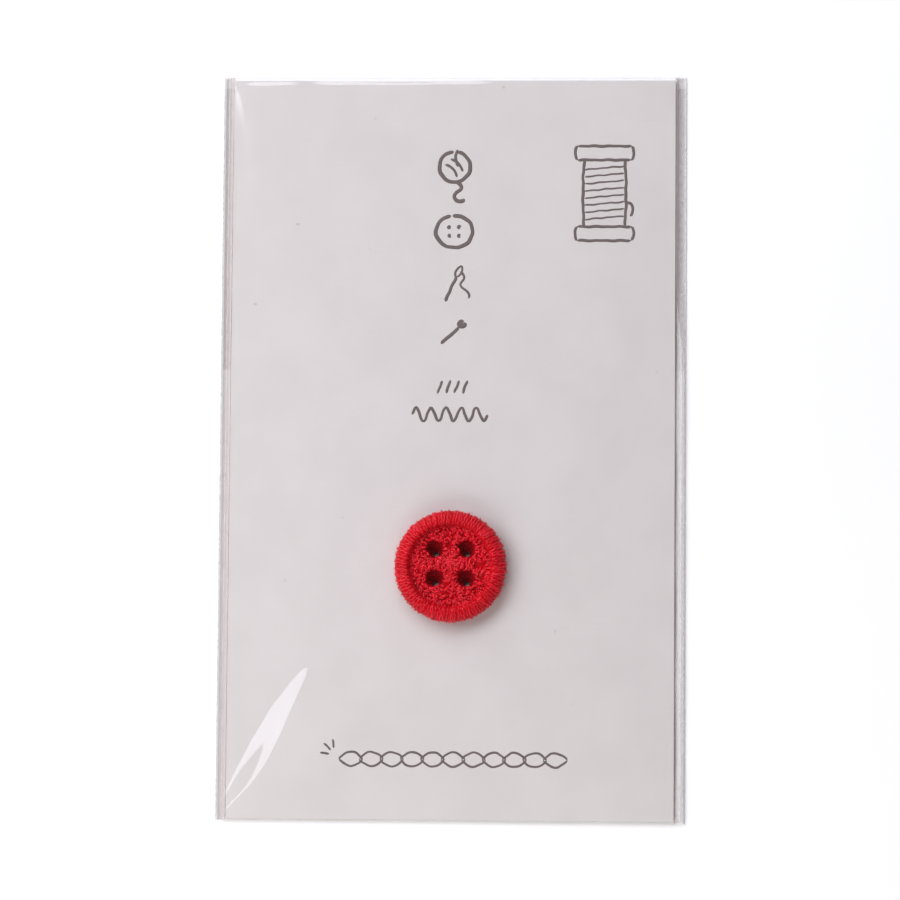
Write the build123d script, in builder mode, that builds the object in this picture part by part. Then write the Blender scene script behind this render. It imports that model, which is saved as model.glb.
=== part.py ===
from build123d import *
import os

# An embroidered four-hole button on its card, packed in a clear film bag. Sizes are in millimetres.
# The pack lies on its back. The origin is on the surface it lies on, under the middle of the bag.
# +X is to the right across the card's face, +Y towards the top fold of the bag, +Z out of the face.

# ---- Card: uncoated board, cut square ----
card_width = 60.0
card_length = 100.0
card_thickness = 0.45

# ---- Button: thread stitched round a padded ring, with a thinner stitched web inside it ----
button_diameter = 15.2  # 24 ligne, a standard coat size
button_from_card_foot = 33.9  # from the card's bottom edge up to the button's centre
rim_width = 2.3
rim_height = 2.9
rim_seat_depth = 0.08  # how much of the oval rim is flattened where it rests on the card
web_thickness = 1.2
web_lift = 0.7  # gap between the card and the underside of the web
web_joint_radius = 0.25  # where the web's top runs into the rim

# ---- The four sewing holes ----
hole_diameter = 2.3
hole_pitch_x = 4.2
hole_pitch_y = 3.9
hole_group_lift = 0.35  # the holes sit a little above the button's centre
hole_edge_radius = 0.2

# ---- Glue dot under the web ----
glue_dot_diameter = 2.6
glue_dot_waist = 0.25  # how far its side draws in between the card and the web

# ---- Film bag: one sheet, folded at the foot and over the top, welded at both sides ----
film_thickness = 0.05
film_clearance = 0.05  # between the inside of the film and what it covers
side_margin = 1.45  # from the card's side edge to the cut edge of the bag
top_margin = 0.5
foot_margin = 0.2
side_weld_width = 0.6
weld_to_flap_gap = 0.2  # the weld's bead ends this far short of the flap's free edge
mouth_drop = 1.5  # the rear panel's free edge ends this far below the top fold
flap_length = 40.0
fold_radius = 0.04  # outside of a sharp fold
shoulder_radius = 0.15  # the film rolls over the card's edge at this radius, outside
corner_radius = 0.4  # of the film round the card's corners, inside
tent_top_reach = 0.45  # from the crest of the rim out to where the film leaves it
tent_top_flat = 0.4  # straight length in each side of the nearly round patch that lies on the rim

# ---- Adhesive strip between the flap and the rear panel ----
strip_thickness = 0.03
strip_width = 7.0
strip_from_flap_edge = 3.0
strip_side_inset = 1.0

# ---- What follows from those: outer size and levels above the surface it lies on ----
bag_width = card_width + 2 * side_margin
bag_length = card_length + top_margin + foot_margin
bag_top = bag_length / 2
bag_foot = -bag_length / 2
card_y = bag_foot + foot_margin + card_length / 2
button_y = card_y - card_length / 2 + button_from_card_foot
flap_edge_y = bag_top - flap_length

flap_top = film_thickness
rear_under = flap_top + strip_thickness
rear_top = rear_under + film_thickness
card_top = rear_top + card_thickness
rim_crest = card_top + rim_height
rim_crest_radius = (button_diameter - rim_width) / 2
tent_top_radius = rim_crest_radius + tent_top_reach
shoulder_wall = card_thickness + film_clearance
shoulder_roll = min(shoulder_radius, shoulder_wall / 3)  # a low card edge leaves room for less
level_tolerance = 0.001

os.makedirs("parts", exist_ok=True)


def edges_at(piece, height):
    """The edges of a piece that lie level at this height."""
    return piece.edges().filter_by_position(Axis.Z, height - level_tolerance, height + level_tolerance)


# ---- Card ----
with BuildPart() as backing_card:
    with BuildSketch(Plane.XY.offset(rear_top)):
        with Locations((0, card_y)):
            Rectangle(card_width, card_length)
    extrude(amount=card_thickness)

backing_card.part.label = "backing_card"
export_step(backing_card.part, "parts/backing_card.step")


# ---- Button ----
# Half of its section is turned about its own axis. The section is an oval rim, cut flat where it sits
# on the card, and the web inside it.
rim_half_height = (rim_height + rim_seat_depth) / 2
button_seat = Plane((0, button_y, card_top))
button_axis = Axis(button_seat.origin, button_seat.z_dir)
button_section = Plane(button_seat.origin, x_dir=(1, 0, 0), z_dir=(0, -1, 0))
web_faces = (card_top + web_lift, card_top + web_lift + web_thickness)

with BuildPart() as button:
    with BuildSketch(button_section):
        with Locations((rim_crest_radius, rim_height - rim_half_height)):
            Ellipse(rim_width / 2, rim_half_height)
        with Locations((0, web_lift)):
            Rectangle(rim_crest_radius, web_thickness, align=(Align.MIN, Align.MIN))
        with Locations((rim_crest_radius, 0)):
            Rectangle(rim_width, rim_seat_depth, align=(Align.CENTER, Align.MAX), mode=Mode.SUBTRACT)
    revolve(axis=button_axis)
    fillet([edge for level in web_faces for edge in edges_at(button, level)], web_joint_radius)
    with Locations(button_seat.offset(web_lift + web_thickness)):
        with Locations((0, hole_group_lift)):
            with GridLocations(hole_pitch_x, hole_pitch_y, 2, 2):
                Hole(hole_diameter / 2)
    hole_edges = [edge for level in web_faces for edge in edges_at(button, level).filter_by(GeomType.CIRCLE)]
    fillet(hole_edges, hole_edge_radius)

button.part.label = "button"
export_step(button.part, "parts/button.step")


# ---- Glue dot ----
# A squashed dot: wide where it wets the card and the web, drawn in between them.
glue_dot_radius = glue_dot_diameter / 2
with BuildPart() as glue_dot:
    with BuildSketch(button_section):
        with BuildLine():
            Polyline((glue_dot_radius, 0), (0, 0), (0, web_lift), (glue_dot_radius, web_lift))
            ThreePointArc(
                (glue_dot_radius, web_lift),
                (glue_dot_radius - glue_dot_waist, web_lift / 2),
                (glue_dot_radius, 0),
            )
        make_face()
    revolve(axis=button_axis)

glue_dot.part.label = "glue_dot"
export_step(glue_dot.part, "parts/glue_dot.step")


# ---- Film bag ----
def tent(grow):
    """What the front panel stretches over, from the welds across the card's edges to the button's crest.

    It is the space under the film when grow is 0, and takes in the film when grow is its thickness.
    """
    shoulder_height = card_top + film_clearance + grow
    with BuildPart() as covered:
        with BuildSketch(Plane.XY.offset(rear_top)):
            RectangleRounded(
                bag_width - 2 * (side_weld_width - grow),
                bag_length - 2 * (film_thickness - grow),
                corner_radius + grow,
            )
        with BuildSketch(Plane.XY.offset(shoulder_height)):
            with Locations((0, card_y)):
                RectangleRounded(
                    card_width + 2 * (film_clearance + grow),
                    card_length + 2 * (film_clearance + grow),
                    corner_radius + grow,
                )
        with BuildSketch(Plane.XY.offset(rim_crest + film_clearance + grow)):
            with Locations((0, button_y)):
                RectangleRounded(
                    2 * (tent_top_radius + grow),
                    2 * (tent_top_radius + grow),
                    tent_top_radius + grow - tent_top_flat / 2,
                )
        loft(ruled=True)
        fillet(edges_at(covered, shoulder_height), shoulder_roll - film_thickness + grow)
    return covered.part


film_outside = tent(film_thickness)
film_inside = tent(0)

with BuildPart() as film_bag:
    # Side welds: both panels are melted together and cut. Below the flap their beads touch the surface.
    with BuildSketch(Plane.XY):
        for side in (-1, 1):
            with Locations((side * (bag_width - side_weld_width) / 2, bag_foot)):
                Rectangle(
                    side_weld_width,
                    flap_edge_y - weld_to_flap_gap - bag_foot,
                    align=(Align.CENTER, Align.MIN),
                )
    extrude(amount=rear_top)
    # Front panel, with side strips that lie flat on the rear panel.
    with BuildSketch(Plane.XY.offset(rear_top)):
        Rectangle(bag_width, bag_length)
    extrude(amount=film_thickness)
    add(film_outside)
    # Rear panel, from the fold at the foot to the mouth.
    with BuildSketch(Plane.XY.offset(rear_under)):
        with Locations((0, bag_foot)):
            Rectangle(bag_width, bag_length - mouth_drop, align=(Align.CENTER, Align.MIN))
    extrude(amount=film_thickness)
    add(film_inside, mode=Mode.SUBTRACT)
    # The fold over the top, and the flap behind the rear panel.
    with BuildSketch(Plane.XY):
        with Locations((0, bag_top)):
            Rectangle(bag_width, film_thickness, align=(Align.CENTER, Align.MAX))
    extrude(amount=rear_top)
    with BuildSketch(Plane.XY):
        with Locations((0, bag_top)):
            Rectangle(bag_width, flap_length, align=(Align.CENTER, Align.MAX))
    extrude(amount=film_thickness)
    # The film's outside is round at the two sharp folds.
    top_fold = edges_at(film_bag, 0).filter_by(Axis.X).sort_by(Axis.Y)[-1]
    foot_fold = edges_at(film_bag, rear_under).filter_by(Axis.X).sort_by(Axis.Y)[0]
    fillet([top_fold, foot_fold], fold_radius)

film_bag.part.label = "film_bag"
export_step(film_bag.part, "parts/film_bag.step")


# ---- Adhesive strip ----
with BuildPart() as flap_adhesive:
    with BuildSketch(Plane.XY.offset(flap_top)):
        with Locations((0, flap_edge_y + strip_from_flap_edge)):
            Rectangle(bag_width - 2 * strip_side_inset, strip_width, align=(Align.CENTER, Align.MIN))
    extrude(amount=strip_thickness)

flap_adhesive.part.label = "flap_adhesive"
export_step(flap_adhesive.part, "parts/flap_adhesive.step")
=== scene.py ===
# %% [markdown]
# # A thread button on its card, in a clear film bag
# The real object is a pack from a haberdasher's rack. A four-hole button, stitched from red thread, is
# glued to a printed card, and the card is closed in a bag folded from one sheet of clear film.
# The CAD model holds every size. Here each piece gets its surface: paper, ink, thread and film.
# The work goes from what stands still to what is thin and difficult: camera and light first, then the
# card, its print, the button, and at last the film that lies over them all.

# %% Load the fixed frame
import math

import bpy
import numpy as np
from mathutils import Matrix, Vector


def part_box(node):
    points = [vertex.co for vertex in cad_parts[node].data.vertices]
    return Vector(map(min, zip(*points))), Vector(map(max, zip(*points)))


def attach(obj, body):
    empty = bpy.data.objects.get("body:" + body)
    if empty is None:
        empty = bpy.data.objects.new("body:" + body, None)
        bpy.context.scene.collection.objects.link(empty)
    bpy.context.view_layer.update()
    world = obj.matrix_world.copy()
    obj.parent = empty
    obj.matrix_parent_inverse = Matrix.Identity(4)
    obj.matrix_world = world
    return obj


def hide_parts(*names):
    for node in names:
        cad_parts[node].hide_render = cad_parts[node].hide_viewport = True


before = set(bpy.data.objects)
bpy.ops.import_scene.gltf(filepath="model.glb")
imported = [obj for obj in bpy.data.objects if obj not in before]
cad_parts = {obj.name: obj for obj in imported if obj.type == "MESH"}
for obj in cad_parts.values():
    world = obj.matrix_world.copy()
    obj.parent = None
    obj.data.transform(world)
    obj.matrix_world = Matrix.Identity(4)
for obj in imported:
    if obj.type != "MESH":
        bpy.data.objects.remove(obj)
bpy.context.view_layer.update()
scene = bpy.context.scene
mm = 0.001


# %% [markdown]
# ## Small helpers for working by operator
# Blender's operators act on whatever is selected, and the loaded CAD nodes are selected. So every step
# starts from an empty selection with one object made active. The finished pieces all keep their own
# object at the origin, with their place in their mesh, exactly like the CAD nodes.

# %% Selection and clean-up helpers
def pick(thing):
    """Makes one object the only selected one, and the active one."""
    bpy.ops.object.select_all(action="DESELECT")
    thing.select_set(True)
    bpy.context.view_layer.objects.active = thing
    return thing


def settle(thing):
    """Puts an object's place, turn and scale into its mesh."""
    pick(thing)
    bpy.ops.object.transform_apply(location=True, rotation=True, scale=True)
    return thing


def finish_modifiers(thing):
    """Applies every modifier on an object."""
    pick(thing)
    for modifier in list(thing.modifiers):
        bpy.ops.object.modifier_apply(modifier=modifier.name)
    return thing


def vertex_places(mesh):
    """The places of a mesh's vertices, one row each."""
    places = np.zeros(len(mesh.vertices) * 3)
    mesh.vertices.foreach_get("co", places)
    return places.reshape(-1, 3)


def signed_volume(mesh):
    """Volume enclosed by a mesh. It is negative when its faces point inwards."""
    mesh.calc_loop_triangles()
    corners = vertex_places(mesh)
    triangles = np.zeros(len(mesh.loop_triangles) * 3, np.int32)
    mesh.loop_triangles.foreach_get("vertices", triangles)
    a, b, c = (corners[triangles.reshape(-1, 3)[:, corner]] for corner in range(3))
    return float(np.einsum("ij,ij->i", a, np.cross(b, c)).sum() / 6)


def report_piece(thing):
    """Prints how heavy a mesh is, and its signed volume, which is positive when its faces point
    outwards.
    """
    volume = signed_volume(thing.data)
    print(thing.name, len(thing.data.loop_triangles), "triangles,", round(volume / mm**3, 2), "mm3")


# %% [markdown]
# ## Camera
# The pack is seen from nearly straight above, leaning a little towards its lower right corner. A long
# lens from half a metre keeps the card's sides parallel. The camera is built from three directions:
# where it looks, what is right and what is up, with a small roll about the line of sight.

# %% Set the camera
camera_distance = 500 * mm
camera_lens = 148.25
look_at = Vector((-0.268, -0.433, 0)) * mm
lean = math.radians(5.363)
lean_towards = math.radians(-61.1)
roll = math.radians(0.458)


def direction(azimuth, zenith):
    """Unit vector towards an azimuth, counted from +X, and so far from straight up. Both in radians."""
    level = math.sin(zenith)
    return Vector((level * math.cos(azimuth), level * math.sin(azimuth), math.cos(zenith)))


outwards = direction(lean_towards, lean)
level_right = (-outwards).cross(Vector((0, 1, 0))).normalized()
level_up = level_right.cross(-outwards)
right = math.cos(roll) * level_right + math.sin(roll) * level_up
up = math.cos(roll) * level_up - math.sin(roll) * level_right

camera = bpy.data.objects.new("camera", bpy.data.cameras.new("camera"))
scene.collection.objects.link(camera)
camera.matrix_world = Matrix((right, up, outwards)).transposed().to_4x4()
camera.location = look_at + camera_distance * outwards
camera.data.lens = camera_lens
camera.data.clip_start = 10 * mm
scene.camera = camera
print("camera at", [round(value / mm, 1) for value in camera.location], "mm")


# %% [markdown]
# ## Light
# One big softbox stands at the upper left, low enough that flat film mirrors the pale room and only
# film that tips towards the softbox shines. That is how a clear bag shows its folds. Two small ones
# stand lower, one beside it and one at the foot, and light what faces sideways. The room itself is a
# faint warm white, so the side of the card that is further from the softbox looks a little warmer. It
# is dark straight overhead, where the camera is, or the flat film would mirror a pale veil.

# %% Softboxes and room
def softbox(name, azimuth, zenith, distance, width, height, watts, colour):
    """A rectangular light aimed at the middle of the card."""
    light = bpy.data.lights.new(name, "AREA")
    light.shape = "RECTANGLE"
    light.size = width
    light.size_y = height
    light.energy = watts
    light.color = colour
    holder = bpy.data.objects.new(name, light)
    scene.collection.objects.link(holder)
    towards = direction(math.radians(azimuth), math.radians(zenith))
    holder.location = distance * towards
    holder.rotation_euler = towards.to_track_quat("Z", "Y").to_euler()
    return holder


softbox("key_softbox", azimuth=130, zenith=42, distance=0.62, width=1.0, height=0.36, watts=5.2,
        colour=(0.91, 0.945, 1.0))
softbox("low_softbox", azimuth=250, zenith=60, distance=0.3, width=0.3, height=0.2, watts=0.5,
        colour=(1.0, 0.98, 0.96))
softbox("side_softbox", azimuth=137, zenith=70, distance=0.5, width=0.3, height=0.12, watts=0.45,
        colour=(1.0, 1.0, 1.0))

room = bpy.data.worlds.new("room")
room.use_nodes = True
room_links, room_nodes = room.node_tree.links, room.node_tree.nodes
way_out = room_nodes.new("ShaderNodeTexCoord")
upwards = room_nodes.new("ShaderNodeSeparateXYZ")
ceiling = room_nodes.new("ShaderNodeMapRange")
ceiling.interpolation_type = "SMOOTHSTEP"
for socket, value in (("From Min", 0.60), ("From Max", 0.93), ("To Min", 0.36), ("To Max", 0.05)):
    ceiling.inputs[socket].default_value = value
room_links.new(way_out.outputs["Generated"], upwards.inputs[0])
room_links.new(upwards.outputs["Z"], ceiling.inputs["Value"])
room_links.new(ceiling.outputs["Result"], room_nodes["Background"].inputs["Strength"])
room_nodes["Background"].inputs["Color"].default_value = (1.0, 0.945, 0.935, 1)
scene.world = room
scene.view_settings.view_transform = "Standard"
scene.cycles.transparent_max_bounces = 32  # light crosses the front, rear and flap, both faces of each
print(len(bpy.data.lights), "softboxes in a pale room")


# %% [markdown]
# ## A small language for materials
# Node trees are easier to read as sums. `Signal` wraps one output socket. Adding, multiplying or taking
# a power of signals makes Math nodes, and `node` makes any other kind: its settings go in first, then
# its sockets. `Finish` opens a new material, with its coordinates in millimetres.

# %% Signals and finishes
class Signal:
    """One output of a shader node, on which arithmetic can be done."""

    def __init__(self, tree, socket=None):
        self.tree = tree
        self.socket = socket

    def node(self, kind, settings, inputs, output=0):
        """Adds a node with these settings and socket values or links, and gives one output."""
        made = self.tree.nodes.new(kind)
        for name, value in settings.items():
            setattr(made, name, value)
        for name, value in inputs.items():
            if isinstance(value, Signal):
                self.tree.links.new(value.socket, made.inputs[name])
            else:
                made.inputs[name].default_value = value
        return Signal(self.tree, made.outputs[output])

    def math(self, operation, first, second=0.0):
        return self.node("ShaderNodeMath", {"operation": operation}, {0: first, 1: second})

    def __add__(self, other):
        return self.math("ADD", self, other)

    def __sub__(self, other):
        return self.math("SUBTRACT", self, other)

    def __rsub__(self, other):
        return self.math("SUBTRACT", other, self)

    def __mul__(self, other):
        return self.math("MULTIPLY", self, other)

    def __pow__(self, other):
        return self.math("POWER", self, other)

    __radd__ = __add__
    __rmul__ = __mul__

    def size(self):
        """The value without its sign."""
        return self.math("ABSOLUTE", self)

    def step(self, start, end, low=0.0, high=1.0):
        """Rises smoothly from low to high while the value goes from start to end."""
        settings = {"interpolation_type": "SMOOTHSTEP"}
        inputs = {0: self, 1: start, 2: end, 3: low, 4: high}
        return self.node("ShaderNodeMapRange", settings, inputs)

    def blend(self, first, second):
        """Mixes two colours, with this value as the share of the second."""
        inputs = {0: self, 6: first, 7: second}
        return self.node("ShaderNodeMix", {"data_type": "RGBA"}, inputs, output=2)


class Finish(Signal):
    """A new material. Its position signal is in millimetres, in the frame of the whole object."""

    def __init__(self, name):
        self.material = bpy.data.materials.new(name)
        self.material.use_nodes = True
        super().__init__(self.material.node_tree)
        self.tree.nodes.clear()
        place = self.node("ShaderNodeTexCoord", {}, {}, output="Object")
        inputs = {0: place, "Scale": 1 / mm}
        self.position = self.node("ShaderNodeVectorMath", {"operation": "SCALE"}, inputs)

    def axis(self, letter):
        """Position along one axis, in millimetres."""
        return self.node("ShaderNodeSeparateXYZ", {}, {0: self.position}, output=letter)

    def noise(self, period, detail=2.0, roughness=0.5, warp=None):
        """Soft random pattern, 0 to 1, with blobs about this many millimetres apart."""
        inputs = {"Vector": warp or self.position, "Scale": 1 / period, "Detail": detail,
                  "Roughness": roughness}
        return self.node("ShaderNodeTexNoise", {}, inputs)

    def bump(self, height, depth):
        """Relief from a height signal, where 1 stands this many millimetres high."""
        inputs = {"Height": height, "Distance": depth * mm, "Strength": 1.0}
        return self.node("ShaderNodeBump", {}, inputs)

    def opaque(self, inputs):
        """The everyday shader, which takes colour, roughness and relief."""
        return self.node("ShaderNodeBsdfPrincipled", {}, inputs)

    def see_through(self, colour):
        """A shader that lets light straight through, tinted by this colour."""
        return self.node("ShaderNodeBsdfTransparent", {}, {"Color": colour})

    def mix(self, share, first, second):
        """Two shaders in one, with this share of the second."""
        return self.node("ShaderNodeMixShader", {}, {0: share, 1: first, 2: second})

    def surface(self, shader):
        """Ends the material in this shader."""
        output = self.tree.nodes.new("ShaderNodeOutputMaterial")
        self.tree.links.new(shader.socket, output.inputs["Surface"])
        return self.material


# %% [markdown]
# ## The surface it lies on
# A pale sheet, wide enough to fill every view. It isn't part of the object, so it isn't attached to its
# body.

# %% Lay the pale surface
bpy.ops.mesh.primitive_plane_add(size=3.0)
table = bpy.context.object
table.name = "pale_surface"
pale = Finish("pale_surface")
cloudy = pale.noise(90, detail=3).step(0.3, 0.7)
pale_colour = cloudy.blend((0.93, 0.925, 0.925, 1), (0.95, 0.945, 0.945, 1))
matt = pale.opaque({"Base Color": pale_colour, "Roughness": 0.9, "Specular IOR Level": 0.2})
table.data.materials.append(pale.surface(matt))
print("surface", [round(side, 1) for side in table.dimensions], "m")


# %% [markdown]
# ## The card
# The real card is punched from uncoated board: flat, with a soft edge where the knife went through.
# A cube at the CAD card's size gets that soft edge from a bevel. Everything else that tells the eye
# "board" is in its finish, so its mesh stays light.

# %% Model the card
card_low, card_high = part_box("backing_card")
card_middle = (card_low + card_high) / 2
card_top = card_high.z
card_soft_edge = 0.05 * mm

bpy.ops.mesh.primitive_cube_add(size=1, location=card_middle)
card = bpy.context.object
card.name = "printed_card"
card.scale = card_high - card_low
settle(card)
knife_edge = card.modifiers.new("knife_edge", "BEVEL")
knife_edge.width = card_soft_edge
knife_edge.segments = 3
knife_edge.limit_method = "ANGLE"
finish_modifiers(card)
report_piece(card)


# %% [markdown]
# ## Uncoated board
# Recycled board isn't one colour. It has cloudy pulp, a pale tooth, short darker fibres, and here and
# there a speck of something that was once another colour. Each is a noise of its own size, and the
# fibres are a noise squeezed along one direction. The relief is a hundredth of a millimetre deep.

# %% Finish of the board
def board_finish():
    board = Finish("recycled_board")
    pulp = board.noise(9, detail=4, roughness=0.6).step(0.3, 0.7)
    tooth = board.noise(0.22, detail=3, roughness=0.7)
    turned = board.node("ShaderNodeMapping", {}, {"Vector": board.position, "Rotation": (0, 0, 0.6),
                                                  "Scale": (0.35, 2.6, 1)})
    fibres = board.noise(0.9, detail=2, roughness=0.6, warp=turned).step(0.6, 0.72)
    specks = board.noise(0.85, detail=1, roughness=0.4).step(0.80, 0.83)
    base = pulp.blend((0.664, 0.620, 0.606, 1), (0.692, 0.650, 0.636, 1))
    base = (fibres * 0.25).blend(base, (0.61, 0.57, 0.55, 1))
    base = (tooth.step(0.3, 0.75) * 0.12).blend(base, (0.76, 0.735, 0.725, 1))
    base = (specks * 0.45).blend(base, (0.36, 0.30, 0.27, 1))
    height = tooth * 0.7 + fibres * 0.3
    return board.surface(board.opaque({
        "Base Color": base, "Roughness": 0.86 + 0.08 * tooth, "Specular IOR Level": 0.25,
        "Normal": board.bump(height, 0.012)}))


card.data.materials.append(board_finish())
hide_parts("backing_card")
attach(card, "root")


# %% [markdown]
# ## Print
# The face carries small drawings in grey ink, in a hand-drawn line. A real line of ink has some body
# and rounded ends, so each stroke is a thin tube along its points, flattened until it stands off the
# board by about a hundredth of a millimetre. Every drawing is made of strokes in millimetres round its
# own middle. The pen's wobble is a small smooth offset, the same on every run.

# %% Pen strokes
chance = np.random.default_rng(24)
ink_rise = 0.012  # mm, how far a line of ink stands off the board
point_gap = 0.22  # mm, between two points of a stroke
pen_wobble = 0.028
pen_lines = []


def pen(points, width):
    """Keeps one stroke of the pen: its points in mm on the card's face, and its width."""
    points = np.asarray(points, float)
    lengths = np.concatenate([[0], np.cumsum(np.hypot(*np.diff(points, axis=0).T))])
    count = max(8, int(lengths[-1] / point_gap))
    even = np.linspace(0, lengths[-1], count)
    smooth = np.column_stack([np.interp(even, lengths, points[:, axis]) for axis in (0, 1)])
    phase = chance.uniform(0, 2 * math.pi, 4)
    wobble = np.column_stack([np.sin(even * 1.9 + phase[0]) + np.sin(even * 4.1 + phase[1]),
                              np.sin(even * 2.3 + phase[2]) + np.sin(even * 3.7 + phase[3])])
    smooth += pen_wobble * wobble
    from_end = np.minimum(even, lengths[-1] - even)
    roundness = np.sqrt(np.clip(from_end / (width / 2), 0.12, 1.0))
    pressure = 1 + 0.07 * np.sin(even * 1.3 + phase[1])
    pen_lines.append((smooth, width * roundness * pressure))


def arc(middle, radii, start, end, steps=28):
    """Points on an ellipse from one angle to another, in degrees."""
    turn = np.radians(np.linspace(start, end, steps))
    return np.column_stack([middle[0] + radii[0] * np.cos(turn), middle[1] + radii[1] * np.sin(turn)])


def wave(start, length, height, waves, steps_each=10):
    """Points along a level line that swings up and down."""
    along = np.linspace(0, 1, waves * steps_each + 1)
    return np.column_stack([start[0] + length * along,
                            start[1] + height / 2 * np.sin(2 * math.pi * waves * along)])


# %% [markdown]
# The column down the middle is a sewing kit: a ball of thread, a four-hole button, a needle, and a pin.
# Under it are two short rows of stitches. At the upper right is a reel of thread, drawn in outline,
# and along the foot runs a row of chain stitch with three small rays at its left end.

# %% Draw the sewing kit
bold = 0.52
middling = bold * 0.72
fine = 0.3


def thread_ball(x, y):
    """A ball with three strands across it, and its loose end below."""
    pen(arc((x, y + 1.3), (2.1, 2.1), 95, 440), bold)
    pen(arc((x - 1.9, y - 0.6), (2.3, 2.3), 12, 76), middling)
    pen(arc((x - 1.9, y - 0.6), (3.3, 3.3), 22, 66), middling)
    pen(arc((x + 2.3, y + 2.6), (2.2, 2.2), 150, 215), middling)
    tail = np.concatenate([arc((x - 0.1, y - 1.5), (1.0, 0.75), 80, -60, 14),
                           arc((x + 0.7, y - 2.8), (0.75, 0.62), 130, 330, 14)])
    pen(tail, bold)


def button_drawing(x, y):
    """A round button with four dots for its holes."""
    pen(arc((x, y), (2.5, 2.2), 100, 455), bold)
    for hole_x in (-0.65, 0.65):
        for hole_y in (-0.58, 0.58):
            pen(arc((x + hole_x, y + hole_y), (0.16, 0.16), 0, 350, 10), bold * 0.7)


def needle_drawing(x, y):
    """A needle that leans to the right, its long eye, and a thread that waves down beside it."""
    tip, neck = np.array([x - 1.2, y - 2.4]), np.array([x + 0.35, y + 1.0])
    pen([tip, tip * 0.4 + neck * 0.6, neck], bold * 0.85)
    turn = np.radians(np.linspace(-110, 250, 22))
    lean = math.atan2(neck[1] - tip[1], neck[0] - tip[0])
    long, wide = 0.85 * np.sin(turn), 0.34 * np.cos(turn)
    eye = neck + 0.75 * np.array([math.cos(lean), math.sin(lean)])
    pen(np.column_stack([eye[0] + long * math.cos(lean) - wide * math.sin(lean),
                         eye[1] + long * math.sin(lean) + wide * math.cos(lean)]), bold * 0.6)
    down = np.linspace(0, 1, 24)
    pen(np.column_stack([eye[0] + 0.15 + 1.0 * down + 0.42 * np.sin(9 * down), eye[1] - 3.6 * down]),
        bold * 0.62)


def pin_drawing(x, y):
    """A short pin whose head is filled by a small ring inside a larger one."""
    head = (x + 1.1, y + 1.05)
    pen(arc(head, (0.42, 0.42), 40, 400, 16), bold)
    pen(arc(head, (0.15, 0.15), 40, 400, 16), bold * 0.8)
    pen([(x + 0.75, y + 0.6), (x - 0.4, y - 0.5), (x - 1.7, y - 1.6)], bold * 0.9)


kit_x = 0.1
thread_ball(kit_x, 36.9)
button_drawing(kit_x, 29.35)
needle_drawing(kit_x, 22.2)
pin_drawing(kit_x, 15.7)
for stitch_x in np.linspace(-1.7, 1.7, 4):
    pen([(stitch_x - 0.28, 7.35), (stitch_x + 0.34, 9.1)], middling)
pen(wave((-5.4, 4.5), 10.2, 1.9, 5), middling)


# %% Draw the reel of thread
def thread_reel(x, y):
    """A reel with two flanges, turns of thread between them, and a loose end at the right."""
    line = 0.4
    half_width, half_height, corner = 3.6, 0.95, 0.35
    for end in (-1, 1):
        level = y + end * 5.5
        for side in (1, -1):
            edge_x, edge_y = side * half_width, level - side * half_height
            pen([(x - edge_x, edge_y), (x + edge_x, edge_y)], line)
            start = -90 * side
            pen(arc((x + edge_x, level), (corner, half_height), start, start + 180, 12), line)
    for side in (-1, 1):
        pen([(x + side * 2.75, y - 4.5), (x + side * 2.9, y - 2.0), (x + side * 2.9, y + 2.0),
             (x + side * 2.75, y + 4.5)], line)
    for turn in np.linspace(-3.6, 3.2, 8):
        pen([(x - 2.7, y + turn), (x, y + turn + 0.28), (x + 2.7, y + turn + 0.5)], line * 0.62)
    hook = arc((x + 3.4, y - 2.2), (0.45, 0.9), 100, -90, 12)
    pen(np.concatenate([[(x + 2.8, y - 1.2)], hook]), line)


thread_reel(20.4, 34.6)


# %% Draw the chain stitch along the foot
chain_left, chain_right, chain_level, chain_links = -14.6, 15.5, -41.9, 11
link_length = (chain_right - chain_left) / chain_links
along = np.linspace(0, 1, 15)
belly = 0.95 * np.sin(math.pi * along) ** 0.8
for place in range(chain_links):
    link_x = chain_left + place * link_length - 0.2 + (link_length + 0.45) * along
    for side in (-1, 1):
        pen(np.column_stack([link_x, chain_level + side * belly]), fine)
for angle, reach in ((176, 1.25), (138, 1.3), (102, 1.2)):
    ray = np.array([math.cos(math.radians(angle)), math.sin(math.radians(angle))])
    start = np.array([-15.3, -41.3]) + 0.85 * ray
    pen([start, start + reach * ray], fine)
print(len(pen_lines), "strokes of ink")


# %% Make the strokes one mesh
def many_lines(name, lines, sides_level):
    """One mesh of round tubes. Each line is its points in mm and its widths in mm."""
    curve = bpy.data.curves.new(name, "CURVE")
    curve.dimensions = "3D"
    curve.bevel_depth = 0.5 * mm
    curve.bevel_resolution = sides_level
    curve.use_fill_caps = True
    for points, widths in lines:
        spline = curve.splines.new("POLY")
        spline.points.add(len(points) - 1)
        rows = np.zeros((len(points), 4))
        rows[:, :points.shape[1]] = points * mm
        spline.points.foreach_set("co", rows.ravel())
        spline.points.foreach_set("radius", np.broadcast_to(widths, len(points)).astype(float))
    holder = bpy.data.objects.new(name, curve)
    scene.collection.objects.link(holder)
    pick(holder)
    bpy.ops.object.convert(target="MESH")
    made = bpy.context.object
    if signed_volume(made.data) < 0:
        made.data.flip_normals()
    return made


ink = many_lines("card_print", pen_lines, 1)
ink.scale = (1, 1, ink_rise / bold)
ink.location = (card_middle.x, card_middle.y, card_top)
settle(ink)
bpy.ops.object.shade_smooth()
report_piece(ink)


# %% [markdown]
# The ink is a warm grey that the board drinks in unevenly, so its colour follows a fine noise.

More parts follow.
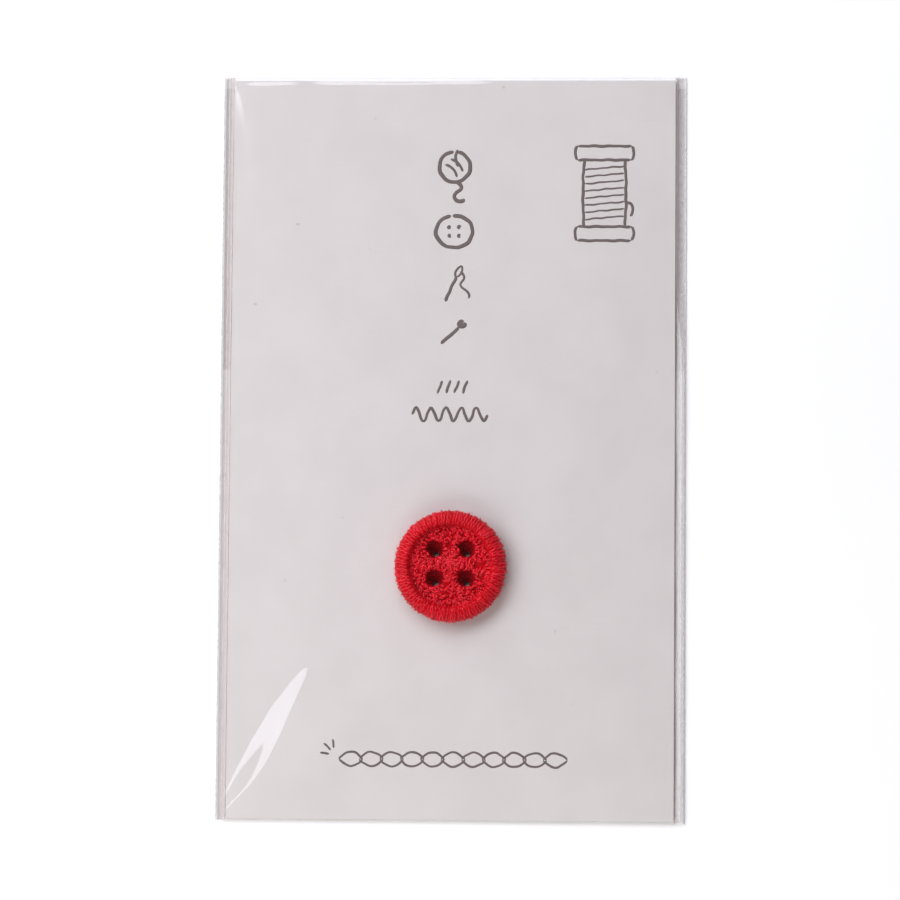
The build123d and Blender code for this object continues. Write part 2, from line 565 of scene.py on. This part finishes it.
# %% Finish of the ink
def ink_finish():
    ink_grey = Finish("warm_grey_ink")
    soaked = ink_grey.noise(0.16, detail=3, roughness=0.7).step(0.35, 0.75)
    patchy = ink_grey.noise(2.5, detail=1)
    colour = (soaked * 0.4 + patchy * 0.15).blend((0.125, 0.095, 0.09, 1), (0.23, 0.19, 0.18, 1))
    return ink_grey.surface(ink_grey.opaque({
        "Base Color": colour, "Roughness": 0.62 + 0.2 * soaked,
        "Normal": ink_grey.bump(soaked, 0.006)}))


ink.data.materials.append(ink_finish())
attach(ink, "root")


# %% [markdown]
# ## The button's stitched body
# The real button is made on an embroidery machine: thread is wound over a padded ring, a web is
# stitched across its middle, and the holes are bound like buttonholes. Under the threads that show
# there is a dense body of older stitches. That body is a copy of the CAD button, remeshed into an even
# skin and drawn in a little, so that the threads laid over it end at the true size.

# %% Measure the button
button_low, button_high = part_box("button")
button_x = (button_low.x + button_high.x) / 2 / mm
button_y = (button_low.y + button_high.y) / 2 / mm
button_radius = (button_high.x - button_low.x) / 2 / mm
seat_level = button_low.z / mm
crest_level = button_high.z / mm
rim_half_width = 1.15
rim_half_height = 1.49
rim_radius = button_radius - rim_half_width
rim_level = crest_level - rim_half_height
web_under = seat_level + 0.7
web_top = web_under + 1.2
hole_radius = 1.15
holes_middle_y = 0.35
hole_middles = [(x, holes_middle_y + y) for x in (-2.1, 2.1) for y in (-1.95, 1.95)]
thread_radius = 0.19
ply_radius = 0.105
print("button radius, crest and web in mm:",
      [round(size, 2) for size in (button_radius, crest_level, web_top)])


# %% [markdown]
# The rim is not a plain ring. It is wound over padding that is fuller inside, so its inner side is
# steep and its outer side is a broad round shoulder. One rule moves the body's crest and that of the
# threads inwards, and leaves the outline and the edge of the web alone.

# %% Shape of the rim
crest_shift = 0.5


def shoulder(radius, half_width):
    """Moves a distance from the button's axis inwards: most at the rim's crest, none at its edges."""
    from_crest = np.abs(radius - rim_radius) / half_width
    return radius - crest_shift * np.clip(1 - from_crest, 0, 1)


# %% Make the stitched body
skin_mesh_size = 0.17 * mm
under_thread = 0.1 * mm

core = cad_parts["button"].copy()
core.data = core.data.copy()
core.name = "stitched_body"
for key in list(core.keys()):
    del core[key]
core.parent = None
core.data.materials.clear()
scene.collection.objects.link(core)
pick(core)
bpy.ops.object.mode_set(mode="EDIT")
bpy.ops.mesh.select_all(action="SELECT")
bpy.ops.mesh.remove_doubles(threshold=0.001 * mm)
bpy.ops.object.mode_set(mode="OBJECT")
skin = core.modifiers.new("even_skin", "REMESH")
skin.mode = "VOXEL"
skin.voxel_size = skin_mesh_size
finish_modifiers(core)
bpy.ops.object.mode_set(mode="EDIT")
bpy.ops.mesh.select_all(action="SELECT")
bpy.ops.transform.shrink_fatten(value=-under_thread)
bpy.ops.object.mode_set(mode="OBJECT")
skin_places = vertex_places(core.data)
button_axis = np.array([button_x, button_y]) * mm
from_axis = np.hypot(*(skin_places[:, :2] - button_axis).T) / mm
drawn_in = shoulder(from_axis, rim_half_width) / np.maximum(from_axis, 0.1)
skin_places[:, :2] = button_axis + (skin_places[:, :2] - button_axis) * drawn_in[:, None]
core.data.vertices.foreach_set("co", skin_places.ravel())
core.data.update()
bpy.ops.object.shade_smooth()
report_piece(core)


# %% [markdown]
# ## Thread
# Sewing thread is two plies twisted round each other. A path gives the middle of the thread, and the
# plies circle it: one step along the path turns them by a share of the pitch. Hundreds of threads make
# the button, so a ply is a tube with six sides and few points, and smooth shading rounds it.
# Each ply also carries a number, its tone, because dyed thread is never one red.

# %% Twist two plies
def two_ply(path, side, spread, pitch):
    """Two plies of a thread along a path. Side is the direction across the thread, at each point."""
    tangent = np.gradient(path, axis=0)
    tangent /= np.linalg.norm(tangent, axis=1)[:, None]
    rise = np.cross(tangent, side)
    along = np.concatenate([[0], np.cumsum(np.linalg.norm(np.diff(path, axis=0), axis=1))])
    turn = 2 * math.pi * along / pitch + chance.uniform(0, 2 * math.pi)
    plies = []
    for half in (0, math.pi):
        across = np.cos(turn + half)[:, None] * rise + np.sin(turn + half)[:, None] * side
        plies.append(path + spread * across)
    return plies


def any_tone(middle, spread):
    """A tone for both plies of one thread, between 0 for deep and 1 for clear."""
    return [float(np.clip(chance.normal(middle, spread), 0, 1))] * 2


def thread_mesh(name, plies, radii, tones, sides_level=1):
    """One mesh of many plies, each with its own tone for the material to read."""
    made = many_lines(name, [(ply, 2 * radius) for ply, radius in zip(plies, radii)], sides_level)
    tube_sides = 4 + 2 * sides_level
    lengths = np.array([len(ply) for ply in plies])
    cap_corners = (len(made.data.vertices) - tube_sides * lengths.sum()) // len(plies)
    tone = made.data.attributes.new("tone", "FLOAT", "POINT")
    tone.data.foreach_set("value", np.repeat(tones, tube_sides * lengths + cap_corners))
    bpy.ops.object.shade_smooth()
    report_piece(made)
    return made


def around_button(radius, turn, level):
    """Points in mm at a distance from the button's axis, an angle round it, and a level."""
    x, y = button_x + radius * np.cos(turn), button_y + radius * np.sin(turn)
    return np.stack([x, y, np.broadcast_to(level, np.shape(x))], axis=-1)


# %% [markdown]
# ## The wrapped rim
# Each wrap starts low on the outside, climbs over the crest and dives to the web inside. Every other
# wrap stands out a little further than its neighbours, which gives the outline its fine teeth. The
# wraps lean a few degrees, none exactly like the next, and a few loose ones cross over the others.

# %% Path of one wrap
wraps = 104
crossing_wraps = 14
wrap_points = 19
tail_points = 4
rim_pitch = 1.7  # mm along the thread for one turn of its plies


def rim_wrap(turn, leaning, grow, end_angle, tail):
    """The path of one wrap, and the direction across it."""
    angle = np.radians(np.linspace(chance.uniform(-66, -58), end_angle, wrap_points))
    half_width = rim_half_width - thread_radius + grow
    half_height = rim_half_height - thread_radius + min(0.3 * grow, 0.01)
    radius = shoulder(rim_radius + half_width * np.cos(angle), half_width)
    level = rim_level + half_height * np.sin(angle)
    run_out = np.linspace(0.3, 1, tail_points)
    radius = np.concatenate([radius, radius[-1] - run_out * tail])
    level = np.concatenate([level, level[-1] + (web_top - 0.1 - level[-1]) * run_out])
    bearing = turn + leaning * np.linspace(-0.5, 0.5, len(radius))
    side = np.stack([-np.sin(bearing), np.cos(bearing), np.zeros(len(bearing))], axis=-1)
    return around_button(radius, bearing, level), side


# %% Wind the rim
rim_plies, rim_tones = [], []
for place in range(wraps):
    turn = 2 * math.pi * (place + chance.uniform(-0.2, 0.2)) / wraps
    proud = 0.05 if place % 2 else -0.03
    path, side = rim_wrap(turn, 0.10 + chance.normal(0, 0.025), proud + chance.normal(0, 0.04),
                          chance.uniform(148, 157), chance.uniform(0.15, 0.85))
    rim_plies += two_ply(path, side, 0.085, rim_pitch)
    rim_tones += any_tone(0.52, 0.16)
for place in range(crossing_wraps):
    turn = chance.uniform(-1.3, 0.9) if place % 2 else chance.uniform(0, 2 * math.pi)
    path, side = rim_wrap(turn, chance.choice([-1, 1]) * chance.uniform(0.12, 0.3), 0.075,
                          chance.uniform(120, 155), 0.2)
    rim_plies += two_ply(path, side, 0.07, rim_pitch)
    rim_tones += [chance.uniform(0.6, 1)] * 2
rim = thread_mesh("rim_thread", rim_plies, [ply_radius] * len(rim_plies), rim_tones)


# %% [markdown]
# ## The web and its holes
# Inside the rim the machine crosses back and forth until the web is full, and what shows is a mass of
# short loops in every direction. Longer stitches run between the holes like a plus sign, and each hole
# is bound by threads that run over its edge and down. Thread can't turn a tight circle, so the bound
# holes come out a little square. Lower down each hole closes towards one side in rounds of thread in a
# darker red: painted shade that stands in for the shadow deep in the hole, so that little of the card
# shows through it.

# %% One stitch in the web
def web_stitch(x, y, heading, length, arch, base, bend, count=7):
    """A short stitch that comes up out of the web, arches over and dives back."""
    along = np.linspace(-0.5, 0.5, count)
    bow = np.cos(math.pi * along)
    ahead = np.array([math.cos(heading), math.sin(heading)])
    across = np.array([-ahead[1], ahead[0]])
    level_path = np.array([x, y]) + np.outer(along * length, ahead) + np.outer(bow * bend, across)
    path = np.column_stack([button_x + level_path[:, 0], button_y + level_path[:, 1],
                            web_top + base + arch * (bow - 0.55)])
    return path, np.tile([across[0], across[1], 0.0], (count, 1))


def hole_gap(x, y):
    """Distance from a place on the web to the edge of the nearest hole."""
    return min(math.hypot(x - hole_x, y - hole_y) for hole_x, hole_y in hole_middles) - hole_radius


# %% Fill the web with stitches
short_stitches = 470
long_stitches = 12
web_radius = 5.45

web_plies, web_radii, web_tones = [], [], []
placed = 0
while placed < short_stitches:
    reach, turn = web_radius * math.sqrt(chance.uniform()), chance.uniform(0, 2 * math.pi)
    x, y = reach * math.cos(turn), reach * math.sin(turn)
    heading, length = chance.uniform(0, math.pi), chance.uniform(0.45, 0.95)
    half_x, half_y = length / 2 * math.cos(heading), length / 2 * math.sin(heading)
    if min(hole_gap(x + way * half_x, y + way * half_y) for way in (-1, 0, 1)) < 0.02:
        continue
    path, side = web_stitch(x, y, heading, length, arch=chance.uniform(0.18, 0.45),
                            base=chance.uniform(-0.16, 0.06), bend=chance.normal(0, 0.14))
    web_plies += two_ply(path, side, 0.07, 1.0)
    web_radii += [chance.uniform(0.085, 0.14)] * 2
    web_tones += any_tone(0.5, 0.24)
    placed += 1
for place in range(long_stitches):
    offset, slide, slant = chance.uniform(-0.5, 0.5), chance.normal(0, 0.3), chance.normal(0, 0.06)
    length = chance.uniform(2.2, 4.4)
    x, y, heading = (offset, slide, math.pi / 2 + slant) if place % 2 else (slide, offset, slant)
    path, side = web_stitch(x, holes_middle_y + y, heading, length, arch=0.25, base=-0.05, bend=0.1,
                            count=18)
    web_plies += two_ply(path, side, 0.054, 1.3)
    web_radii += [ply_radius] * 2
    web_tones += [chance.uniform(0.3, 0.75)] * 2
web = thread_mesh("web_thread", web_plies, web_radii, web_tones)


# %% Bind the holes
bindings = 17
closing_rounds = 7
closing_points = 21
down_hole = np.array([-0.1, 0.03, 0.06, 0.0, -0.12, -0.35, -0.6])

hole_plies, hole_tones, lining_plies = [], [], []
for hole_x, hole_y in hole_middles:
    for place in range(bindings):
        turn = 2 * math.pi * (place + chance.uniform(-0.3, 0.3)) / bindings
        squareness = 0.09 * math.cos(4 * (turn - math.pi / 4))
        edge = hole_radius + squareness + chance.normal(0.12, 0.06)
        reach = chance.uniform(0.3, 0.7)
        radius = edge + np.array([reach, reach * 0.6, 0.24, 0.1, 0.02, 0.0, 0.01])
        bearing = turn + chance.normal(0, 0.12) * np.linspace(-0.5, 1, len(down_hole))
        path = np.column_stack([button_x + hole_x + radius * np.cos(bearing),
                                button_y + hole_y + radius * np.sin(bearing), web_top + down_hole])
        side = np.column_stack([-np.sin(bearing), np.cos(bearing), np.zeros(len(down_hole))])
        hole_plies += two_ply(path, side, 0.075, 1.1)
        hole_tones += any_tone(0.42, 0.15)
    # Painted shade: rounds that close each hole lower down, towards one side, dark in the place of the
    # hole's shadow.
    for depth in np.linspace(0, 1, closing_rounds):
        closed = 0.7 * depth**1.3
        turn = np.linspace(0, 2 * math.pi, closing_points)
        radius = hole_radius + 0.04 - closed + 0.035 * np.sin(3 * turn + chance.uniform(0, 6))
        path = np.column_stack([button_x + hole_x + 0.15 * closed + radius * np.cos(turn),
                                button_y + hole_y - 0.95 * closed + radius * np.sin(turn),
                                np.full(closing_points, web_top - 0.3 - 1.05 * depth)])
        side = np.tile([0.0, 0.0, 1.0], (closing_points, 1))
        lining_plies += two_ply(path, side, 0.06, 1.1)
bound_holes = thread_mesh("hole_thread", hole_plies, [ply_radius] * len(hole_plies), hole_tones)
lining_count = len(lining_plies)
# Painted shade: these rounds all take tone 0 and the darkest red, for the hole's shadow.
lining = thread_mesh("hole_shade_rounds", lining_plies, [ply_radius] * lining_count, [0.0] * lining_count)


# %% [markdown]
# ## Fuzz
# Spun thread sheds fine fibres. They are thinner than a tenth of a thread and stand out of the rim by
# a quarter of a millimetre at most, mostly outwards, because the film presses on those at the crest.

# %% Add the loose fibres
loose_fibres = 340
fibre_radius = 0.012

fibre_plies = []
for place in range(loose_fibres):
    turn = chance.uniform(0, 2 * math.pi)
    angle = math.radians(chance.uniform(-50, 150))
    out = np.array([math.cos(angle), math.sin(angle)])
    length = chance.uniform(0.06, 0.26)
    along = np.linspace(0, 1, 5)
    radius = shoulder(rim_radius + rim_half_width * out[0], rim_half_width) + out[0] * length * along
    level = rim_level + rim_half_height * out[1] + out[1] * length * along * 0.4
    bearing = turn + chance.normal(0, 0.05) * along + chance.normal(0, 0.03) * along**2
    fibre_plies.append(around_button(radius, bearing, np.minimum(level, crest_level)))
fuzz = thread_mesh("loose_fibres", fibre_plies, [fibre_radius] * loose_fibres,
                   chance.uniform(0.5, 1, loose_fibres), sides_level=0)


# %% [markdown]
# ## Red thread
# Dyed thread scatters light softly, with a gloss along each ply and a sheen where the fibres are seen
# side on. The tone of each ply moves the red between a deep and a clear one, and a fine noise breaks up
# its gloss. The body under the threads and the rounds down in the holes take darker, duller reds. This
# is painted shade, standing in for light that reaches them only after it has met red thread on its way.

# %% Finish of the thread
def thread_finish(name, deep, clear, grain_depth, gloss):
    red = Finish(name)
    tone = red.node("ShaderNodeAttribute", {"attribute_name": "tone"}, {}, output="Fac")
    fibres = red.noise(0.05, detail=3, roughness=0.7)
    worn = red.noise(1.6, detail=2)
    share = (tone * 0.75 + fibres * 0.3 + worn * 0.25 - 0.15).step(0.0, 1.0)
    return red.surface(red.opaque({
        "Base Color": share.blend(deep, clear), "Roughness": 0.17 + 0.2 * fibres,
        "Specular IOR Level": gloss, "Specular Tint": (1.0, 0.3, 0.34, 1),
        "Sheen Weight": 0.05, "Sheen Roughness": 0.4, "Sheen Tint": (1.0, 0.3, 0.35, 1),
        "Normal": red.bump(fibres, grain_depth)}))


thread_red = thread_finish("red_thread", deep=(0.52, 0.002, 0.008, 1), clear=(0.84, 0.004, 0.022, 1),
                           grain_depth=0.012, gloss=1.0)
# Painted shade: the body seen in the gaps between the threads gets a darker, duller copy of the red.
shaded_red = thread_finish("red_thread_in_shade", deep=(0.50, 0.001, 0.006, 1),
                           clear=(0.70, 0.002, 0.010, 1), grain_depth=0.05, gloss=0.15)
# Painted shade: the rounds down in the holes get the darkest copy of the red, for the hole's shadow.
painted_shade_hole_red = thread_finish("red_thread_painted_hole_shade", deep=(0.24, 0.001, 0.004, 1),
                         clear=(0.34, 0.002, 0.008, 1), grain_depth=0.02, gloss=0.05)
core.data.materials.append(shaded_red)
lining.data.materials.append(painted_shade_hole_red)
for piece in (rim, web, bound_holes, fuzz):
    piece.data.materials.append(thread_red)
for piece in (core, rim, web, bound_holes, lining, fuzz):
    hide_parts("button")
    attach(piece, "root")


# %% [markdown]
# ## Clear glue
# Two CAD nodes have the right shape already: the dot under the button and the strip that closes the
# flap. They only need their finish. Clear glue lets light through with a little milk in it, so its
# shader is a mix of see-through, white scatter and gloss.

# %% Finish of the glue
def glue_finish(name, milk):
    glue = Finish(name)
    streaks = glue.noise(1.4, detail=2, roughness=0.6).step(0.35, 0.7)
    scatter = glue.opaque({"Base Color": (0.86, 0.85, 0.80, 1), "Roughness": 0.3,
                           "Normal": glue.bump(streaks, 0.01)})
    clear = glue.see_through((0.97, 0.965, 0.94, 1))
    return glue.surface(glue.mix(streaks * 0.15 + milk, clear, scatter))


for node_name, finish_name, milk in (("glue_dot", "clear_glue", 0.35),
                                     ("flap_adhesive", "clear_tape", 0.16)):
    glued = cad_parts[node_name]
    glued.data.materials.clear()
    glued.data.materials.append(glue_finish(finish_name, milk))
    print(node_name, "gets", finish_name)


# %% [markdown]
# ## The film bag
# The bag is one sheet of stiff clear film. Seen from the side its path is: flap behind the card, fold
# over the top, front panel, fold at the foot, rear panel up to the mouth. So it is modelled as one
# grid, whose rows run across the bag and follow each other along that path. Its columns stand closer
# at the welds and its rows closer at the folds, where the film bends most. A Solidify modifier gives
# the film its gauge.

# %% Stations for columns and rows
film_low, film_high = (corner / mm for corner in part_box("film_bag"))
card_left, card_right = card_low.x / mm, card_high.x / mm
card_foot, card_head = card_low.y / mm, card_high.y / mm
card_face, card_back = card_high.z / mm, card_low.z / mm
gauge = 0.05
film_gap = 0.05  # between the film and what it lies on
flap_level = gauge / 2
rear_level = card_back - gauge / 2
edge_level = card_face + film_gap + gauge / 2
crest_film = crest_level + film_gap + gauge / 2
mouth = film_high.y - 1.5
flap_edge = film_high.y - 40
fold_reach = 0.575  # how far the film runs in a curve at the top fold, measured along the card
foot_reach = 0.43


def stations(*stretches):
    """Places along a line. Each stretch is its start, its end and the gap between its places."""
    places = []
    for start, end, gap in stretches:
        places.append(np.linspace(start, end, max(2, round(abs(end - start) / gap) + 1))[:-1])
    return np.concatenate(places + [[stretches[-1][1]]])


columns = stations((film_low.x, card_left + 0.4, 0.1), (card_left + 0.4, card_left + 6, 0.15),
                   (card_left + 6, card_left + 16, 0.4), (card_left + 16, card_right - 0.4, 1.0),
                   (card_right - 0.4, film_high.x, 0.1))
print(len(columns), "columns across the bag")


# %% [markdown]
# The front panel is stretched. It lies against the card's edges and is lifted by the crest of the
# button, so between them it is a tent: at each height its outline is a blend of the card's rectangle
# and the button's circle. The height over a place is found by halving: is this place inside the outline
# at half height? Then it is higher, otherwise lower. All the places are halved together.

# %% Height of the stretched front panel
tent_halvings = 22


def tent_height(x, y):
    """Level of film pulled straight from the card's edges to the crest of the button, in mm."""
    low, high = np.zeros(x.shape), np.ones(x.shape)
    half_width, half_length = (card_right - card_left) / 2, (card_head - card_foot) / 2
    middle_y = (card_head + card_foot) / 2
    patch = rim_radius + 0.45
    for halving in range(tent_halvings):
        share = (low + high) / 2
        away_x = np.abs(x - share * button_x) - (1 - share) * half_width
        away_y = np.abs(y - middle_y - share * (button_y - middle_y)) - (1 - share) * half_length
        outside = np.hypot(np.maximum(away_x, 0), np.maximum(away_y, 0))
        distance = outside + np.minimum(np.maximum(away_x, away_y), 0)
        inside = distance < share * patch
        low = np.where(inside, share, low)
        high = np.where(inside, high, share)
    return edge_level + (crest_film - edge_level) * low


def ramp(value, start, end):
    """Rises smoothly from 0 to 1 while the value goes from start to end."""
    share = np.clip((value - start) / (end - start), 0, 1)
    return share * share * (3 - 2 * share)


# %% [markdown]
# Film is never as neat as the tent. A long crease runs up from the lower left corner, where the card
# was pushed in: the film steps up across it, steeply near the corner and gently at its tip. The film
# also stands proud in places along the top fold, ripples between the card's edge and the weld, and
# waves a little everywhere. Each of these is a small height added to the tent.

# %% The crease at the corner
crease_foot = np.array([card_left - 1.0, card_foot + 0.75])
crease_run = np.array([11.7, 19.3])
crease_bow = 0.5
crease_height = 0.45
crease_tail = 9.0


def corner_crease(x, y):
    """Film that steps up across a line from the lower left corner, in two steps that run into one."""
    length = np.hypot(*crease_run)
    ahead = crease_run / length
    share = ((x - crease_foot[0]) * ahead[0] + (y - crease_foot[1]) * ahead[1]) / length
    bow = crease_bow * np.sin(math.pi * np.clip(share / 0.7, 0, 1))
    across = (x - crease_foot[0]) * ahead[1] - (y - crease_foot[1]) * ahead[0] - bow
    widening = 0.2 + 1.75 * ramp(share, -0.15, 0.5)
    narrowing = 0.2 * ramp(share, 0.45, 0.65) + 1.55 * ramp(share, 0.55, 1.12)
    half = widening - narrowing
    step = half * (0.24 + 0.91 * ramp(share, 0.16, 0.56))
    climbed = (ramp(across, -half, step - half) + ramp(across, half - step, half)) / 2
    rise = crease_height * step**0.8 * (1 - ramp(share, 0.9, 1.1))
    settling = 1 - ramp(across, half * 0.8, half + crease_tail)
    held_down = ramp(y - card_foot, -0.3, 1.0) * ramp(x - card_left, -0.6, 0.2)
    return rise * climbed * settling * held_down


# %% Bulge, waves and the whole front panel
def top_bulge(x, y):
    """Film that stands proud just under the top fold, more in some places than in others."""
    proud = 0.27 * ramp(x, -22, -9) * (1 - ramp(x, -2.6, -2.2))
    proud = proud + 0.2 * ramp(x, -2.6, -2.2) * (1 - ramp(x, -1, 9))
    depth = card_head - y
    sagging = 0.12 * ramp(x, -29.5, -23) * (1 - ramp(x, -24, -20))
    return (proud * ramp(depth, -0.15, 0.6) * (1 - ramp(depth, 1.0, 9.0))
            + sagging * ramp(depth, 0.25, 0.6) * (1 - ramp(depth, 0.8, 5.0)))


def long_waves(x, y):
    """Slow waves of a few hundredths of a millimetre."""
    crossing = np.sin(0.41 * x + 0.19 * y + 1.0) * np.sin(0.13 * y - 0.2 * x)
    return 0.035 * (crossing + 0.6 * np.sin(0.33 * y + 0.1 * x))


def front_level(x, y):
    """Level of the front panel between the two folds, over the card and beside it."""
    inner_x = np.clip(x, card_left, card_right)
    from_edge = np.minimum(np.minimum(inner_x - card_left, card_right - inner_x),
                           np.minimum(y - card_foot, card_head - y))
    free = ramp(from_edge, 0.0, 1.6)
    level = tent_height(inner_x, y)
    added = corner_crease(inner_x, y) + top_bulge(inner_x, y) + long_waves(inner_x, y) * free
    over_button = np.hypot(x - button_x, y - button_y) < rim_radius + 1.2
    level = level + np.where(over_button, 0, added)
    return np.clip(level, edge_level, crest_film)


# %% [markdown]
# Beside the card the front panel comes down to the rear one. On the left it falls straight to the
# weld. On the right it dips at the card's edge and stands up again before the weld, below a point where
# a fold starts, which is why that side shows a bright band.

# %% Height in the side margins
def margin_level(x, y, start_level):
    """Level of the front panel beside the card, where start_level is its level on the card's edge."""
    beside = np.abs(x) - card_right
    weld = rear_level + gauge
    fall = start_level + (weld - start_level) * ramp(beside, 0.02, 0.75)
    ripple = 0.03 * np.sin(0.9 * y + 1.3 * np.sin(0.21 * y))
    left_side = fall + ripple * ramp(beside, 0.1, 0.4) * (1 - ramp(beside, 0.5, 0.85))
    valley = 0.27 + 0.05 * np.sin(0.35 * y)
    band = 1 - ramp(y, 21.0, 22.5)
    climb = 0.83 * (1 - ramp(y, 13.0, 22.0)) + 0.02
    up_again = valley + 0.42 * np.clip(beside - 0.12, 0, climb)
    dip = start_level + (valley - start_level) * ramp(beside, 0.0, 0.12)
    folded = np.where(beside < 0.12, dip, up_again)
    folded = folded + (weld - folded) * ramp(beside, 1.05, 1.3)
    right_side = fall + (folded - fall) * band
    return np.where(x > 0, right_side, left_side)


def sheet_level(x, y):
    """Level of the front panel anywhere, with its height over the card carried into the margins."""
    level = front_level(x, y)
    return np.where(np.abs(x) > card_right, margin_level(x, y, level), level)


# %% [markdown]
# Now the grid. Each row gets a y and a rule for its level. At the top the level runs round an arc
# between the two panels, and at the foot, where the film is tight on the card, round a rounded square.
# The upper end is the front panel's own level, so that a fold is full over the card and pinched flat at
# the welds. Rows stand closest at the folds and along the crease, and far apart where film lies flat.

# %% Lay the rows along the film's path
fold_turn = np.radians(np.linspace(-90, 90, 15))
top_fold_y = film_high.y - gauge / 2 - fold_reach
foot_fold_y = film_low.y + gauge / 2 + foot_reach
rows_y, rows_z = [], []


def lay_rows(places, level_rule):
    """Adds one straight row at each y. The rule gives the row's levels from its y."""
    for place in places:
        rows_y.append(np.full(columns.shape, place))
        rows_z.append(level_rule(rows_y[-1]))


def round_arc(cosine_or_sine):
    """A plain circle keeps its cosine and sine."""
    return cosine_or_sine


def squarish(cosine_or_sine):
    """Turns a circle's cosine or sine into that of a rounded square, so the card's corner clears."""
    return np.sign(cosine_or_sine) * np.sqrt(np.abs(cosine_or_sine))


def fold_over(edge, reach, under, way, shape):
    """Adds the rows of a fold, upwards from the lower panel where way is 1 and downwards at -1."""
    over = sheet_level(columns, np.full(columns.shape, edge))
    for turn in fold_turn[::way]:
        rows_y.append(np.full(columns.shape, edge + way * reach * shape(math.cos(turn))))
        rows_z.append((over + under) / 2 + (over - under) / 2 * shape(math.sin(turn)))


def flap_rule(y):
    return np.full(y.shape, flap_level)


def front_rule(y):
    return sheet_level(columns, y)


def rear_rule(y):
    return np.full(y.shape, rear_level)


flap_places = stations((flap_edge, 44, 4.0), (44, top_fold_y, 0.6))
front_places = stations((top_fold_y, 47, 0.16), (47, 40, 0.5), (40, -6, 1.4), (-6, -26, 0.8),
                        (-26, -38, 0.42), (-38, foot_fold_y, 0.2))
rear_places = stations((foot_fold_y, -44, 0.6), (-44, mouth, 4.0))

lay_rows(flap_places[:-1], flap_rule)
fold_over(top_fold_y, fold_reach, flap_level, 1, round_arc)
lay_rows(front_places[1:-1], front_rule)
fold_over(foot_fold_y, foot_reach, rear_level, -1, squarish)
lay_rows(rear_places[1:], rear_rule)
sheet_y, sheet_z = np.array(rows_y), np.array(rows_z)
print(len(rows_y), "rows along the film")


# %% Bend a grid into the film
bpy.ops.mesh.primitive_grid_add(x_subdivisions=len(columns) - 1, y_subdivisions=len(rows_y) - 1, size=1)
film = bpy.context.object
film.name = "clear_film"
unit = vertex_places(film.data) + 0.5
column = np.rint(unit[:, 0] * (len(columns) - 1)).astype(int)
row = np.rint(unit[:, 1] * (len(rows_y) - 1)).astype(int)
laid = np.column_stack([columns[column], sheet_y[row, column], sheet_z[row, column]]) * mm
film.data.vertices.foreach_set("co", laid.ravel())
gauge_modifier = film.modifiers.new("gauge", "SOLIDIFY")
gauge_modifier.thickness = gauge * mm
gauge_modifier.offset = 0
finish_modifiers(film)
bpy.ops.object.shade_smooth_by_angle(angle=math.radians(50))
report_piece(film)


# %% [markdown]
# The welds are cut hot, so the two panels end in one uneven bead of melted film. Below the flap the
# bead is fat enough to touch the table. Each bead is a tube that swells and thins along its length,
# joined to the film so that the bag stays one piece.

# %% Melt the side welds
def weld_beads():
    """Both beads as lines for many_lines: points and widths in mm."""
    lines = []
    for side in (-1, 1):
        y = np.linspace(film_low.y + 0.06, film_high.y - 0.06, 300)
        phase = chance.uniform(0, 6, 3)
        melt = np.sin(1.7 * y + phase[0]) + np.sin(4.3 * y + phase[1]) + np.sin(9.1 * y + phase[2])
        below_flap = 1 - ramp(y, flap_edge - 0.6, flap_edge - 0.1)
        half = 0.06 + 0.03 * below_flap + 0.006 * melt
        x = side * (film_high.x - half - 0.001)
        z = 0.13 - 0.022 * below_flap
        lines.append((np.column_stack([x, y, z]), 2 * half))
    return lines


beads = many_lines("weld_beads", weld_beads(), 2)
bpy.ops.object.shade_smooth()
report_piece(beads)
pick(film)
beads.select_set(True)
bpy.ops.object.join()
print("film bag in mm:", [[round(value / mm, 3) for value in corner] for corner in film.bound_box][::6])


# %% [markdown]
# ## Clear film
# Polypropylene film sends a few percent of the light back like a mirror, more at a glancing angle, and
# takes a few percent away. Light isn't bent by such thin film, so its mirror share is worked out from
# how far the surface is turned from the ray, the same on both faces: two percent head on, nearly all of
# it side on, with a fifth power between. Beside the card the film has scuffs and haze, which are a
# little diffuse scatter. Its warm grey is painted shade for the card's shadow and red bounce, the extra
# haze on the left is painted shade that darkens that margin, and the extra haze close to the card is
# painted light that lightens the card's shadow along its edge. The welds, melted and cooled, are the
# palest.

# %% Finish of the film
def film_finish():
    clear_film = Finish("clear_film")
    across = clear_film.axis("X")
    beside = across.size() - card_right
    scuffs = clear_film.noise(1.1, detail=3, roughness=0.7).step(0.45, 0.8)
    # Painted shade: more haze on the left side only, which darkens the left margin.
    left_side = across.step(-0.5, 0.5, 1.0, 0.0)
    # Painted light: more haze close to the card's edge, which lightens the card's shadow under the
    # film.
    painted_light_by_card_edge = beside.step(0.2, 0.5, 0.2, 0.0)
    margin = beside.step(0.0, 0.12) * (scuffs * 0.05 + 0.09 + left_side * 0.10 + painted_light_by_card_edge)
    melted = clear_film.noise(0.5, detail=1).step(0.35, 0.6)
    weld = beside.step(0.95, 1.15) * 0.12 + beside.step(1.2, 1.3) * melted * 0.25
    # Painted shade: the haze's warm brownish grey tints the margins like the card's shadow and red
    # bounce; the pale weld colour is the melted film's own.
    milk = beside.step(1.0, 1.2).blend((0.67, 0.60, 0.58, 1), (0.90, 0.89, 0.89, 1))
    haze = clear_film.opaque({"Base Color": milk, "Roughness": 0.5})
    body = clear_film.mix(margin + weld, clear_film.see_through((0.985, 0.983, 0.987, 1)), haze)
    relief = clear_film.noise(6, detail=1)
    gloss = clear_film.node("ShaderNodeBsdfAnisotropic", {}, {
        "Color": (1, 1, 1, 1), "Roughness": 0.07, "Normal": clear_film.bump(relief, 0.01)})
    side_on = clear_film.node("ShaderNodeLayerWeight", {}, {"Blend": 0.5}, output="Facing")
    return clear_film.surface(clear_film.mix(0.02 + 0.96 * side_on**5, body, gloss))


film.data.materials.clear()
film.data.materials.append(film_finish())
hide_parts("film_bag")
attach(film, "root")
